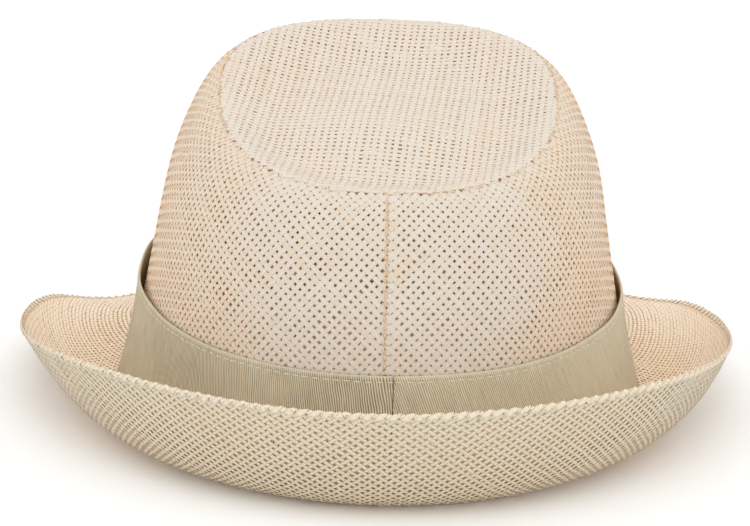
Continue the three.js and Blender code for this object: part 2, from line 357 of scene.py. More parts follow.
@dataclass
class MeshData:
    """Corners, four-sided faces and the values that a material reads from them."""

    corners: Array
    faces: Array
    uv: Array
    values: dict[str, Array]
    creased: bool

    @staticmethod
    def tubes(corners: Array, along: Array, across: Array, area: Area, values: dict[str, Array]) -> "MeshData":
        """Close rows of rings as tubes.

        Args:
            corners: Points by tube, ring and side.
            along: Place of each ring on the length of a tube's strip of the map.
            across: Place of each side on the strip's width, and the end of the last.
            area: Left edge, foot, width and height of the tubes' part of the map.
            values: What a material reads, by tube, ring and side.

        Returns:
            The tubes, with flat ends.
        """
        count, rings, sides = corners.shape[:3]
        u, v, width, height = area
        width, half, tube = width / count, sides // 2, np.arange(count)
        k, j, s = np.meshgrid(tube, np.arange(rings - 1), np.arange(sides), indexing="ij")
        here, there, nxt = (k * rings + j) * sides, (k * rings + j + 1) * sides, (s + 1) % sides
        faces = [np.stack([here + s, here + nxt, there + nxt, there + s], -1).reshape(-1, 4)]
        left, right = (u + (k + across[s + corner]) * width for corner in (0, 1))
        low, high = (v + along[j + corner] * height for corner in (0, 1))
        uv = [map_boxes(left, low, right, high)]
        for end, at in ((0, CAP_MARGIN), (rings - 1, 1 - CAP_MARGIN - CAP_HEIGHT)):
            base = (tube * rings + end) * sides
            for side in range(half - 1):
                quad = [side, side + 1, sides - side - 2, sides - side - 1]
                faces.append(np.stack([base + corner for corner in quad[:: 1 if end else -1]], -1))
                left, low = u + (tube + 0.1 + 0.8 * side / half) * width, v + at * height
                uv.append(map_boxes(left, low, left + 0.35 * width / half, low + CAP_HEIGHT * height))
        shape = (count, rings, sides)
        values = {key: np.broadcast_to(value, shape).ravel() for key, value in values.items()}
        faces, uv = np.concatenate(faces), np.concatenate(uv)
        return MeshData(corners.reshape(-1, 3), faces, uv, values, sides == FLAT_SIDES)

    def piece(self, name: str) -> bpy.types.Object:
        """Make a shaded object from the mesh.

        Args:
            name: Name of the piece.

        Returns:
            The object, in the frame's place and riding on its body.
        """
        mesh = bpy.data.meshes.new(name)
        mesh.from_pydata(self.corners * MM, [], self.faces, shade_flat=False)
        if self.creased:
            ends = np.empty(2 * len(mesh.edges), dtype=np.int32)
            mesh.edges.foreach_get("vertices", ends)
            sharp = np.abs(np.diff(ends.reshape(-1, 2))) == FLAT_SIDES
            mesh.attributes.new("sharp_edge", "BOOLEAN", "EDGE").data.foreach_set("value", sharp.ravel())
        layer = mesh.uv_layers.new(name="OFBake")
        layer.data.foreach_set("uv", self.uv.astype(np.float32).ravel())
        for key, value in self.values.items():
            attribute = mesh.attributes.new(key, "FLOAT", "POINT")
            attribute.data.foreach_set("value", value.astype(np.float32))
        mesh.validate()
        made = bpy.data.objects.new(name, mesh)
        bpy.context.scene.collection.objects.link(made)
        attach(made, "root")
        LOG.info("%s: %d triangles", name, 2 * len(self.faces))
        return made


@dataclass
class Strands:
    """Round or flat strands of equal length in points, laid along lines on a surface."""

    line: Array
    out: Array
    half_width: Array
    half_thick: Array
    tint: Array
    painted_light_and_shade: Array | float = 0.0
    sides: int = FLAT_SIDES

    def mesh(self, area: Area = WHOLE_MAP) -> MeshData:
        """Close each strand as a tube.

        Args:
            area: Left edge, foot, width and height of the strands' part of the map.

        Returns:
            Tubes with a strip of the map each, and the values tint, along, across, under and
            painted_light_and_shade.
        """
        ahead = unit(np.gradient(self.line, axis=1))
        side = unit(np.cross(ahead, self.out))
        up = np.cross(side, ahead)
        turn = math.pi - np.arange(self.sides) * TURN / self.sides
        aside, above = np.cos(turn), np.sin(turn)
        if self.sides == FLAT_SIDES:
            aside, above = np.array([-1.0, 1.0, 1.0, -1.0]), np.array([1.0, 1.0, -1.0, -1.0])
        wide = side[:, :, None] * (self.half_width[..., None, None] * aside[:, None])
        high = up[:, :, None] * (self.half_thick[..., None, None] * above[:, None])
        values = {
            "tint": self.tint[:, None, None],
            "along": (travelled(self.line, 1) + self.tint[:, None] * GRAIN_SHIFT)[..., None],
            "across": aside,
            "under": np.maximum(-above, 0),
            # painted warm shade, and painted light where below zero
            "painted_light_and_shade": np.asarray(self.painted_light_and_shade)[..., None],
        }
        along = np.linspace(MAP_MARGIN, 1 - MAP_MARGIN, self.line.shape[1])
        across = np.linspace(0.05, 0.95, self.sides + 1)
        return MeshData.tubes(self.line[:, :, None] + wide + high, along, across, area, values)


def shelved(strands: list[Strands], shelves: int = 1) -> MeshData:
    """Join strands into one mesh.

    Args:
        strands: Strands of any length.
        shelves: Rows of the map that they share.

    Returns:
        One mesh in which each strand has a strip of the map.
    """
    per = math.ceil(len(strands) / shelves)
    places = [divmod(number, per) for number in range(len(strands))]
    areas = [(column / per, row / shelves, 1 / per, 1 / shelves) for row, column in places]
    parts = [strand.mesh(area) for strand, area in zip(strands, areas)]
    starts = np.cumsum([0] + [len(part.corners) for part in parts[:-1]])
    return MeshData(
        np.concatenate([part.corners for part in parts]),
        np.concatenate([part.faces + start for part, start in zip(parts, starts)]),
        np.concatenate([part.uv for part in parts]),
        {key: np.concatenate([part.values[key] for part in parts]) for key in parts[0].values},
        parts[0].creased,
    )


@dataclass(frozen=True)
class Stitching:
    """Run of short threads that dive into the cloth at both ends."""

    length: float
    gap: float
    radius: float
    wander: float
    seed: int

    def along(self, line: Array, out: Array) -> Strands:
        """Sew along a line.

        Args:
            line: Points close together on the surface.
            out: Directions off the surface there.

        Returns:
            The threads.
        """
        rng = np.random.default_rng(self.seed)
        share, rise, width = np.array(STITCH_STATIONS).T
        run = travelled(line, 0)
        count = max(int(run[-1] / (self.length + self.gap)), 1)
        start = np.arange(count) * run[-1] / count + 0.05 * self.length * rng.standard_normal(count)
        length = self.length * (1 + 0.08 * rng.standard_normal(count))
        at = np.clip(start[:, None] + length[:, None] * share, 0, run[-1])
        points, normal = (np.stack([np.interp(at, run, row) for row in v.T], -1) for v in (line, out))
        normal = unit(normal)
        aside = unit(np.cross(normal, np.gradient(points, axis=1)))
        sway = rng.standard_normal((count, 1)) + 0.4 * rng.standard_normal(at.shape)
        points = points + normal * (self.radius * rise)[:, None] + aside * (self.wander * sway)[..., None]
        width = np.broadcast_to(self.radius * width, at.shape)
        return Strands(points, normal, width, width * 0.75, rng.random(count), sides=THREAD_SIDES)


@dataclass(frozen=True)
class Straw:
    """Flattened strand of paper straw and how it is woven."""

    pitch: float
    width: float
    thick: float = 0.24
    crimp: float = 0.055
    lift_noise: float = 0.014
    least_swell: float = 0.78
    most_swell: float = 1.22

    def lay(
        self, rng: np.random.Generator, line: Array, out: Array, over: Array, shut: Array, painted_light_and_shade: Array
    ) -> Strands:
        """Lay uneven strands over and under those that cross them.

        Args:
            rng: Source of the unevenness.
            line: Points of each strand on the surface.
            out: Directions off the surface there.
            over: From one where a strand runs over another to minus one where it runs under.
            shut: How much wider the strands are where the weave closes.
            painted_light_and_shade: Painted warm shade on the straw, and painted light where it is below zero.

        Returns:
            The strands.
        """
        shape = line.shape[:2]
        lift = self.crimp * over + self.lift_noise * smoothed(rng.standard_normal(shape), 2)
        swell = 1 + 0.06 * rng.standard_normal((shape[0], 1)) + 0.05 * smoothed(rng.standard_normal(shape), 3)
        width = self.width / 2 * np.clip(swell, self.least_swell, self.most_swell) * shut
        thick = np.full(shape, self.thick / 2)
        return Strands(line + out * lift[..., None], out, width, thick, rng.random(shape[0]), painted_light_and_shade)


@dataclass
class RoundWeave:
    """Plain weave of slanting strands on a surface that runs right round the head."""

    surface: Surface
    painted_light_and_shade: Surface
    straw: Straw
    diamonds: int
    start: float
    end: float
    seed: int
    closed: float = 0.1
    closing: tuple[float, float] = (0.972, 0.992)
    steps: int = 720
    shares: Array = field(init=False)

    def __post_init__(self) -> None:
        """Space the rows of crossings as strands of one length between crossings would lie."""
        shares = np.linspace(self.start, self.end, 500)
        third = self.steps // 3
        points = self.surface(np.linspace(0, TURN, third + 1)[None, :], shares[:, None])
        half_width = travelled(points, 1)[:, -1] / (2 * self.diamonds)
        pitch = self.straw.pitch
        half_height = np.sqrt(np.maximum(pitch**2 - half_width**2, (0.4 * pitch) ** 2))
        back = np.r_[0 : third // 6 + 1, third - third // 6 : third + 1]
        climb = np.linalg.norm(np.diff(points[:, back], axis=0), axis=-1).mean(1)
        rows = np.insert(np.cumsum(climb / ((half_height[1:] + half_height[:-1]) / 2)), 0, 0.0)
        self.shares = np.interp(np.linspace(0, rows[-1], 2 * round(rows[-1]) + 1), rows, shares)

    def strands(self, hand: Hand) -> Strands:
        """Lay the strands of one hand.

        Args:
            hand: Which way they climb.

        Returns:
            The strands, over and under those of the other hand.
        """
        rng = np.random.default_rng(self.seed + hand.value)
        samples = len(self.shares)
        shape = (self.diamonds, samples)
        row = np.arange(samples) / 2
        turns = np.linspace(0, TURN, self.steps + 1)
        run = travelled(self.surface(turns[None, :], self.shares[:, None]), 1)
        run /= run[:, -1:]
        drift = 0.05 * rng.standard_normal((self.diamonds, 1))
        drift = drift + 0.08 * smoothed(rng.standard_normal(shape), 6)
        place = 2 * np.arange(self.diamonds)[:, None] + hand.value * row + drift
        place = (place / (2 * self.diamonds)) % 1
        azimuth = np.stack([np.interp(place[:, j], run[j], turns) for j in range(samples)], 1)
        share = np.broadcast_to(self.shares, shape)
        points, out = with_normals(self.surface, azimuth, share)
        over = hand.value * np.cos(math.pi * row)
        shut = 1 + self.closed * smooth_step(share, *self.closing)
        return self.straw.lay(rng, points, out, over, shut, self.painted_light_and_shade(azimuth, share))


@dataclass
class FlatWeave:
    """Plain weave cut to a flat pattern and laid on a surface."""

    surface: Surface
    room: Surface
    painted_light_and_shade: Surface
    straw: Straw
    low: tuple[float, float]
    high: tuple[float, float]
    turn: float
    seed: int
    closed: float = 0.35
    closing: tuple[float, float] = (0.5, 4.5)
    least_room: float = 0.25
    least_points: int = 4

    def axes(self, grain: Grain) -> tuple[Array, Array]:
        """Directions in the pattern along and across the strands of one grain."""
        turn = np.exp(1j * (math.radians(self.turn) + grain.value * math.pi / 2))
        return np.array([turn.real, turn.imag]), np.array([-turn.imag, turn.real])

    def runs(self, grain: Grain) -> list[tuple[int, Array, Array]]:
        """Cut the lines of one grain to the pattern.

        Args:
            grain: Which way they run.

        Returns:
            Each line's number, its steps of half a pitch and its places in the pattern.
        """
        ahead, aside = self.axes(grain)
        pitch, box = self.straw.pitch, np.array([self.low, self.high])
        corners = np.array([[x, y] for x in box[:, 0] for y in box[:, 1]])
        reach, span = corners @ ahead / pitch, corners @ aside / pitch
        steps = np.arange(math.floor(reach.min()) * 2, math.ceil(reach.max()) * 2)
        found = []
        for line in range(math.floor(span.min()), math.ceil(span.max()) + 1):
            room = self.room(*(aside * line * pitch + ahead * steps[:, None] * pitch / 2).T)
            inside = np.concatenate([[0], room > self.least_room, [0]])
            for first, last in np.flatnonzero(np.diff(inside)).reshape(-1, 2):
                if last - first < self.least_points or first == 0 or last == len(steps):
                    continue
                ends = []
                for inner, outer in ((first, first - 1), (last - 1, last)):
                    share = room[inner] / max(room[inner] - room[outer], 1e-6)
                    ends.append(inner + (outer - inner) * min(share, 0.98))
                index = np.concatenate([ends[:1], np.arange(first, last), ends[1:]])
                at = np.interp(index, np.arange(len(steps)), steps)
                found.append((line, at, aside * line * pitch + ahead * at[:, None] * pitch / 2))
        return found

    def strands(self, grain: Grain) -> list[Strands]:
        """Lay the strands of one grain.

        Args:
            grain: Which way they run.

        Returns:
            Strands over and under those of the other grain.
        """
        rng = np.random.default_rng(self.seed + grain.value)
        runs, (_, aside), moved = self.runs(grain), self.axes(grain), []
        for _, at, places in runs:
            wander = 0.06 * rng.standard_normal() + 0.07 * smoothed(rng.standard_normal(len(at)), 6)
            moved.append(places + aside * wander[:, None])
        flat = np.concatenate(moved).T
        points, out = with_normals(self.surface, *flat, 0.15)
        painted_light_and_shade = self.painted_light_and_shade(*flat)
        shut = 1 + self.closed * (1 - smooth_step(self.room(*flat), *self.closing))
        laid, start = [], 0
        sign = 1 if grain is Grain.LENGTHWISE else -1
        for line, at, _ in runs:
            part = np.arange(start, start + len(at))[None]
            start += len(at)
            over = sign * np.cos(math.pi * (line + at / 2))
            laid.append(self.straw.lay(rng, points[part], out[part], over, shut[part], painted_light_and_shade[part]))
        return laid


class Value:
    """Socket of a shader that takes part in arithmetic."""

    def __init__(self, graph: "Graph", socket: bpy.types.NodeSocket) -> None:
        """Keep the socket and its graph."""
        self.graph, self.socket = graph, socket

    def __add__(self, other: "Value | float") -> "Value":
        """Sum."""
        return self.graph.maths("ADD", self, other)

    def __sub__(self, other: "Value | float") -> "Value":
        """Difference."""
        return self.graph.maths("SUBTRACT", self, other)

    def __rsub__(self, other: float) -> "Value":
        """Difference from a number."""
        return self.graph.maths("SUBTRACT", other, self)

    def __mul__(self, other: "Value | float") -> "Value":
        """Product."""
        return self.graph.maths("MULTIPLY", self, other)

    def __truediv__(self, other: "Value | float") -> "Value":
        """Quotient."""
        return self.graph.maths("DIVIDE", self, other)

    def __rtruediv__(self, other: float) -> "Value":
        """Quotient of a number."""
        return self.graph.maths("DIVIDE", other, self)

    def __pow__(self, other: "Value | float") -> "Value":
        """Power."""
        return self.graph.maths("POWER", self, other)

    def __rpow__(self, other: float) -> "Value":
        """Power of a number."""
        return self.graph.maths("POWER", other, self)

    def __abs__(self) -> "Value":
        """Distance from zero."""
        return self.graph.maths("ABSOLUTE", self)

    __radd__ = __add__
    __rmul__ = __mul__

    def wave(self) -> "Value":
        """Sine of the value in radians, brought between zero and one."""
        return self.graph.maths("SINE", self) * 0.5 + 0.5

    def ramp(self, low: float, high: float) -> "Value":
        """Smooth step from zero at low to one at high."""
        settings = {"interpolation_type": "SMOOTHSTEP"}
        return self.graph.node("ShaderNodeMapRange", settings, {0: self, 1: low, 2: high, 3: 0.0, 4: 1.0})


class Graph:
    """Node tree of one material with a Principled shader."""

    def __init__(self, name: str) -> None:
        """Start with the shader and the output that a new material has.

        Args:
            name: Name of the material.
        """
        self.material = bpy.data.materials.new(name)
        self.material.use_nodes = True
        self.tree = self.material.node_tree
        self.shader = self.tree.nodes["Principled BSDF"]

    def feed(self, node: bpy.types.Node, inputs: dict) -> None:
        """Link or set inputs of a node.

        Args:
            node: The node.
            inputs: Constants or values by socket name or index.
        """
        for key, value in inputs.items():
            socket = node.inputs[key]
            if isinstance(value, Value):
                self.tree.links.new(value.socket, socket)
            else:
                socket.default_value = (*value, 1.0) if socket.type == "RGBA" else value

    def node(self, kind: str, settings: dict, inputs: dict, output: int | str = 0) -> Value:
        """Add a node.

        Args:
            kind: Type of the node.
            settings: Properties, set before its inputs.
            inputs: Constants or values by socket name or index.
            output: Which output to give back.

        Returns:
            The chosen output.
        """
        made = self.tree.nodes.new(kind)
        for key, value in settings.items():
            setattr(made, key, value)
        self.feed(made, inputs)
        return Value(self, made.outputs[output])

    def surface(self, **inputs: "Value | float | Colour") -> bpy.types.Material:
        """Finish the material by feeding the shader, with underscores for the spaces in socket names."""
        self.feed(self.shader, {key.replace("_", " "): value for key, value in inputs.items()})
        return self.material

    def maths(self, operation: str, *inputs: "Value | float") -> Value:
        """Work out an operation on values."""
        return self.node("ShaderNodeMath", {"operation": operation}, dict(enumerate(inputs)))

    def attributes(self, *names: str) -> list[Value]:
        """Read values that the mesh carries."""
        return [self.node("ShaderNodeAttribute", {"attribute_name": name}, {}, "Fac") for name in names]

    def noise(self, at: Value, detail: float = 2.0, scale: float = 1.0) -> Value:
        """Noise between zero and one, with a number of finer layers."""
        return self.node("ShaderNodeTexNoise", {}, {"Vector": at, "Scale": scale, "Detail": detail})

    def fibres(self, x: Value, y: Value, z: "Value | float", detail: float = 2.0) -> Value:
        """Noise at three values, which may be stretched."""
        return self.noise(self.node("ShaderNodeCombineXYZ", {}, {0: x, 1: y, 2: z}), detail)

    def layered(self, colour: "Value | Colour", *layers: "tuple[Value, Value | Colour]") -> Value:
        """Lay shares of further colours over a colour.

        Args:
            colour: The colour below.
            layers: A share and a colour each, from the lowest up.

        Returns:
            The blended colour.
        """
        for share, layer in layers:
            colour = self.node("ShaderNodeMix", {"data_type": "RGBA"}, {0: share, 6: colour, 7: layer}, 2)
        return colour

    def bump(self, height: Value, depth: float, strength: float) -> Value:
        """Normal of a fine relief, whose depth is in metres."""
        inputs = {"Height": height, "Distance": depth, "Strength": strength}
        return self.node("ShaderNodeBump", {}, inputs, "Normal")


@dataclass(frozen=True)
class StrawFinish:
    """Flattened paper straw: strands of slightly different cream, with fine lengthwise folds, painted shade on
    their edges and side walls and painted light on their undersides.
    """

    name: str
    pale: Colour = (0.725, 0.66, 0.57)
    warm: Colour = (0.715, 0.61, 0.48)
    cool: Colour = (0.695, 0.65, 0.57)
    # under: painted light on the strands' undersides, which face into the hat
    under: Colour = (0.95, 0.80, 0.67)
    # edge and the inner edge colour: painted shade on the strands' edges and side walls, warm orange-brown;
    # the inner one where they face inward
    edge: Colour = (0.58, 0.38, 0.22)
    inner_edge_shade: Colour = (0.80, 0.56, 0.36)
    # peach: painted warm glow of light bounced in and passed through the straw where painted shade gathers
    peach: Colour = (0.86, 0.60, 0.36)
    # share of the painted shade on the edges and side walls
    edge_shade: float = 0.38
    roughness: float = 0.6
    fold_depth: float = 0.00012

    def material(self) -> bpy.types.Material:
        """Make the material.

        Returns:
            A material that reads tint, along, across, under and painted_light_and_shade, which carries painted
            warm shade and painted light.
        """
        g = Graph(self.name)
        tint, along, across, under, painted_light_and_shade = g.attributes("tint", "along", "across", "under", "painted_light_and_shade")
        patch = g.noise(g.node("ShaderNodeTexCoord", {}, {}, "Object"), 3.0, 24.0)
        warmth = (tint * 0.9 + (patch - 0.5) * 1.4).ramp(0.45, 1.05)
        coolness = ((1 - tint) * 0.9 + (0.5 - patch) * 0.9).ramp(0.6, 1.0)
        fibre = g.fibres(along * 0.35, across * 3.0, tint * 91.0, 3.0)
        folds = g.fibres(along * 0.25, across * 6.0, tint * 53.0)
        # painted warm shade and glow, and painted light on the hem
        glow, hem_painted_light = painted_light_and_shade.ramp(0.0, 1.0), (0 - painted_light_and_shade).ramp(0.0, 1.0)
        # share of painted shade on edges and side walls, less where light is painted on the hem
        shown = (self.edge_shade + glow * 0.7).ramp(0.0, 1.0) * (1 - hem_painted_light * 0.6)
        colour = g.layered(
            self.pale,
            (warmth, self.warm),
            (coolness * 0.7, self.cool),
            (fibre.ramp(0.5, 0.85) * 0.35, self.warm),
            # painted light on the undersides
            (under.ramp(0.0, 0.6), self.under),
            # painted warm glow
            (glow * (0.1 + patch * 0.6), self.peach),
            # painted shade on the strands' edges and side walls
            (abs(across) ** 8.0 * shown, g.layered(self.edge, (under, self.inner_edge_shade))),
            # painted light on the hem, in the underside's lighter colour
            (hem_painted_light * 0.7, self.under),
        )
        return g.surface(
            Base_Color=colour,
            Roughness=self.roughness + (fibre - 0.5) * 0.25,
            Normal=g.bump(folds, self.fold_depth, 0.7),
            Specular_IOR_Level=0.3,
        )


@dataclass(frozen=True)
class BandFinish:
    """Khaki cotton with steep ribs, which lean further towards the end of the strip."""

    name: str
    light: Colour = (0.79, 0.70, 0.51)
    dark: Colour = (0.25, 0.21, 0.13)
    crest: Colour = (0.66, 0.585, 0.43)
    rib: float = 0.78
    pick: float = 0.75
    rib_depth: float = 0.0002
    lean: tuple[float, float] = (0.14, 0.4)
    length: float = 560.0

    def material(self) -> bpy.types.Material:
        """Make the material.

        Returns:
            A material that reads around and up, in millimetres, and crest.
        """
        g = Graph(self.name)
        around, up, crest = g.attributes("around", "up", "crest")
        least, most = self.lean
        lean = least + (around / self.length).ramp(0.2, 1.0) * (most - least)
        sway = g.fibres(around * 0.1, up * 0.1, 0.0)
        across = around - up * lean + (sway - 0.5) * 1.2
        rib = (across * (TURN / self.rib)).wave()
        pick = ((up + across * 0.06) * (TURN / self.pick)).wave()
        slub = g.fibres(across * 0.9, up * 0.12, 3.0, 3.0)
        weave = rib * (0.72 + pick * 0.28)
        cloud = g.fibres(around * 0.03, up * 0.05, 7.0)
        sunlit = (around / self.length).ramp(0.7, 0.95)
        share = weave * 0.95 + (slub - 0.5) * 0.6 + (cloud - 0.5) * 0.4 + sunlit * 0.18 + 0.13
        return g.surface(
            Base_Color=g.layered(self.dark, (share.ramp(-0.05, 1.0), self.light), (crest * 0.8, self.crest)),
            Roughness=0.9 - weave * 0.12,
            Normal=g.bump(weave, self.rib_depth, 0.8),
            Specular_IOR_Level=0.2,
        )


@dataclass(frozen=True)
class ThreadFinish:
    """Sewing thread with a fine twist."""

    name: str
    colour: Colour
    shade: Colour
    twist_depth: float = 0.00008

    def material(self) -> bpy.types.Material:
        """Make the material.

        Returns:
            A material that reads along and across.
        """
        g = Graph(self.name)
        along, across = g.attributes("along", "across")
        twist = (along * 9.0 + across * 2.2).wave()
        return g.surface(
            Base_Color=g.layered(self.colour, (twist * 0.5, self.shade)),
            Roughness=0.75 - twist * 0.1,
            Normal=g.bump(twist, self.twist_depth, 0.7),
        )


@dataclass(frozen=True)
class FloorFinish:
    """Plain pale paper."""

    name: str
    colour: Colour = (0.97, 0.97, 0.965)

    def material(self) -> bpy.types.Material:
        """Make the material."""
        return Graph(self.name).surface(Base_Color=self.colour, Roughness=0.9, Specular_IOR_Level=0.1)


STRAW = StrawFinish("woven_straw")
# Lighter copy of the straw for the top of the crown, which faces the light: painted light.
STRAW_TIP_LIT = StrawFinish("woven_straw_tip_lit", pale=(0.745, 0.665, 0.57), warm=(0.735, 0.62, 0.495))
# Darker copy of the straw for the brim, whose outside faces down away from the light: painted shade; its under
# colour is painted light and its edge colour paints the holes nearly black.
STRAW_BRIM_SHADED = StrawFinish(
    "woven_straw_brim_shaded",
    pale=(0.67, 0.605, 0.465),
    warm=(0.66, 0.56, 0.40),
    cool=(0.62, 0.58, 0.455),
    under=(0.97, 0.83, 0.66),
    edge=(0.11, 0.045, 0.02),
    inner_edge_shade=(0.5, 0.28, 0.14),
    peach=(0.93, 0.64, 0.38),
    edge_shade=1.0,
)
SEAM_THREAD = ThreadFinish("seam_thread", (0.79, 0.56, 0.35), (0.63, 0.37, 0.19))
BAND_COTTON = BandFinish("band_cotton")
BAND_THREAD = ThreadFinish("band_thread", (0.84, 0.78, 0.62), (0.70, 0.63, 0.47))
FLOOR_PAPER = FloorFinish("floor_paper")


@dataclass
class Part:
    """Sub-assembly of the hat, with the pieces that it has made."""

    form: HatForm
    pieces: list[bpy.types.Object] = field(init=False, default_factory=list)

    def add(self, mesh: MeshData, name: str) -> None:
        """Make a piece from a mesh."""
        self.pieces.append(mesh.piece(name))

    def finish(self, node: str, slot: str, *materials: bpy.types.Material) -> None:
        """Give the pieces their materials, and hide the frame's node that they replace.

        Args:
            node: Node of the frame that they replace.
            slot: Name of a slot for their finish; not used.
            materials: One for each piece.
        """
        for piece, material in zip(self.pieces, materials):
            piece.data.materials.append(material)
            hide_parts(node)


@dataclass
class CrownSide(Part):
    """Wall of the crown, cut flat on the bias, with its seam at the centre of the back."""

    straw: Straw = Straw(pitch=2.3, width=1.5, crimp=0.1)
    foot_radius: float = 397.0
    bend: float = math.pi / 2
    depth: float = 0.5
    lap: float = 4.0
    lap_depth: float = 0.4
    wall_height: float = 95.0
    band_height: float = 36.0
    thread: Stitching = Stitching(length=1.9, gap=0.5, radius=0.42, wander=0.2, seed=71)
    seam_turn: float = 0.0035
    seam_span: tuple[float, float] = (0.02, 0.985)
    seam_points: int = 200
    rows: int = 80
    columns: int = 720
    rise: Array = field(init=False)
    slope: Array = field(init=False)
    turned: Array = field(init=False)

    def __post_init__(self) -> None:
        """Measure the crown: heights along the wall, and azimuths at equal shares of its girth."""
        levels, shares = np.linspace(0, 1, self.rows + 1), np.linspace(0, 1, self.columns + 1)
        turns = np.linspace(0, TURN, self.columns + 1)
        points = self.form.crown(turns[None, :], levels[:, None])
        climb, run = travelled(points, 0), travelled(points, 1)
        self.turned = np.stack([np.interp(shares, row / row[-1], turns) for row in run])
        self.rise = np.interp(self.turned[self.rows * 5 // 8], turns, climb[-1])
        self.slope = (climb / climb[-1]).mean(1)

    def within(self, x: Array, y: Array) -> tuple[Array, Array, Array, Array]:
        """Distances inside the start, the end, the foot and the top of the flat pattern.

        Args:
            x: Distances along the pattern.
            y: Distances up the pattern.

        Returns:
            The four distances.
        """
        radius = np.hypot(x, y)
        around = (np.arctan2(x, -y) + self.bend / 2) / self.bend
        girth, climb = self.bend * radius, self.foot_radius - radius
        height = np.interp(np.clip(around, 0, 1), np.linspace(0, 1, self.columns + 1), self.rise)
        return around * girth, (1 - around) * girth, climb, height - climb

    def room(self, x: Array, y: Array) -> Array:
        """Distance inside the cut edge of the flat pattern, which laps under itself at the back."""
        start, end, climb, rest = self.within(x, y)
        return np.minimum.reduce([start + self.lap, end, climb + 0.3, rest - 0.05])

    def placed(self, x: Array, y: Array) -> tuple[Array, Array]:
        """Find places of the flat pattern on the crown.

        Args:
            x: Distances along the pattern.
            y: Distances up the pattern.

        Returns:
            Azimuths and levels.
        """
        start, end, climb, rest = self.within(x, y)
        level = np.interp(climb / (climb + rest), self.slope, np.linspace(0, 1, self.rows + 1))
        row, column = np.clip(level * self.rows, 0, self.rows - 0.001), start / (start + end) * self.columns
        i, j = row.astype(int), np.clip(column, 0, self.columns - 1).astype(int)
        u, v = row - i, column - j
        low, high = (self.turned[k, j] * (1 - v) + self.turned[k, j + 1] * v for k in (i, i + 1))
        return low * (1 - u) + high * u, level

    def surface(self, x: Array, y: Array) -> Array:
        """Middle of the woven wall, which dips below its other end at the back.

        Args:
            x: Distances along the flat pattern.
            y: Distances up the flat pattern.

        Returns:
            Points of the lying hat.
        """
        base, out = with_normals(self.form.crown, *self.placed(x, y))
        deep = self.depth + self.lap_depth * (1 - smooth_step(self.within(x, y)[0], -0.4, 1.2))
        return self.form.laid(base - out * deep[..., None])

    def painted_light_and_shade(self, x: Array, y: Array) -> Array:
        """Painted warm shade on the straw: most at the sides, low by the band and at both edges of the lap.

        Args:
            x: Distances along the flat pattern.
            y: Distances up the flat pattern.

        Returns:
            Amounts of painted shade, where one is the most.
        """
        azimuth, level = self.placed(x, y)
        side = smooth_step(np.abs(np.sin(azimuth)), 0.35, 0.95)
        above_band = np.maximum(level * self.wall_height - self.band_height, 0)
        from_lap = self.within(x, y)[1] - self.lap
        return 0.64 * side + bell(above_band / 16) * (0.2 + 0.7 * side) + 0.35 * bell(from_lap / 0.6)

    def seam(self) -> Strands:
        """Sew the edge that lies uppermost at the back.

        Returns:
            The threads, from the brim to the ridge.
        """
        level = np.linspace(*self.seam_span, self.seam_points)
        points, out = with_normals(self.form.crown, np.full(self.seam_points, self.seam_turn), level)
        line = self.form.laid(points - out * (self.depth - 0.1))
        return self.thread.along(line, self.form.tipped(out))

    def build(self) -> None:
        """Weave both grains of strands and sew the seam."""
        reach = self.foot_radius
        low, high = (-reach * 0.72, -reach - 2), (reach * 0.72, -reach * 0.45)
        cloth = (self.surface, self.room, self.painted_light_and_shade, self.straw)
        weave = FlatWeave(*cloth, low, high, turn=0.0, seed=11, closed=0.22)
        for grain in Grain:
            self.add(shelved(weave.strands(grain), 4), f"crown_side_{grain.name.lower()}")
        self.add(self.seam().mesh(), "crown_back_seam")

    def dress(self) -> None:
        """Give the strands their straw and the seam its thread."""
        straw = STRAW.material()
        self.finish("crown_side", "straw", straw, straw, SEAM_THREAD.material())


